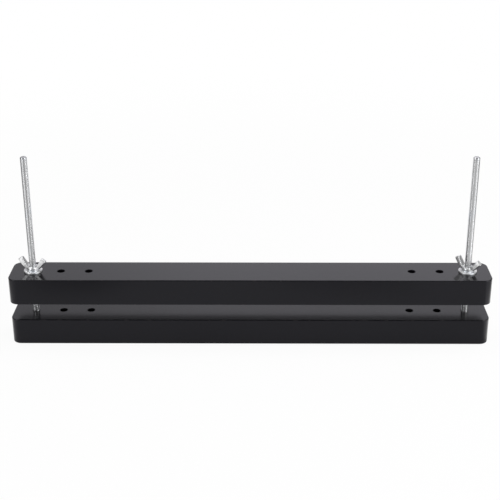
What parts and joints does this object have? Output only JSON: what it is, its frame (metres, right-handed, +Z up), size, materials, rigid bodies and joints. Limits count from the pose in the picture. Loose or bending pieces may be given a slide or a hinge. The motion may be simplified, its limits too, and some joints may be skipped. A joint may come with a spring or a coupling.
{
  "type": "book press",
  "caption": "Hand book press: flat black wooden boards drawn together by wing nuts on threaded rods, with spare rod holes for narrower work.",
  "frame": {"origin": "middle of the lower board's underside, on the table", "axes": "+X along the boards to the right, +Y to the back, +Z up along the rods"},
  "size_m": [0.43, 0.04, 0.171],
  "materials": {
    "black_board": "black satin lacquer on wood",
    "zinc_steel": "bright zinc plating on steel"
  },
  "bodies": {
    "base": {"lower_board": "black_board", "left_rod": "zinc_steel", "right_rod": "zinc_steel", "left_lower_washer": "zinc_steel", "right_lower_washer": "zinc_steel", "left_lower_nut": "zinc_steel", "right_lower_nut": "zinc_steel"},
    "upper_board": {"upper_board": "black_board", "left_top_washer": "zinc_steel", "right_top_washer": "zinc_steel"},
    "left_wing_nut": {"left_wing_nut": "zinc_steel"},
    "right_wing_nut": {"right_wing_nut": "zinc_steel"}
  },
  "joints": [
    {"name": "upper_board_travel", "type": "slide", "parent": "base", "child": "upper_board", "axis": [0, 0, 1], "range_m": [-0.0145, 0.095]},
    {"name": "left_wing_nut_turn", "type": "hinge", "parent": "upper_board", "child": "left_wing_nut", "pos_m": [-0.195, 0, 0.0646], "axis": [0, 0, 1], "range_deg": [-5221, 34201]},
    {"name": "right_wing_nut_turn", "type": "hinge", "parent": "upper_board", "child": "right_wing_nut", "pos_m": [0.195, 0, 0.0646], "axis": [0, 0, 1], "range_deg": [-5221, 34201]}
  ],
  "couplings": [
    {"joint": "left_wing_nut_turn", "follows": "upper_board_travel", "rad_per_m": 6283.2},
    {"joint": "right_wing_nut_turn", "follows": "upper_board_travel", "rad_per_m": 6283.2}
  ]
}
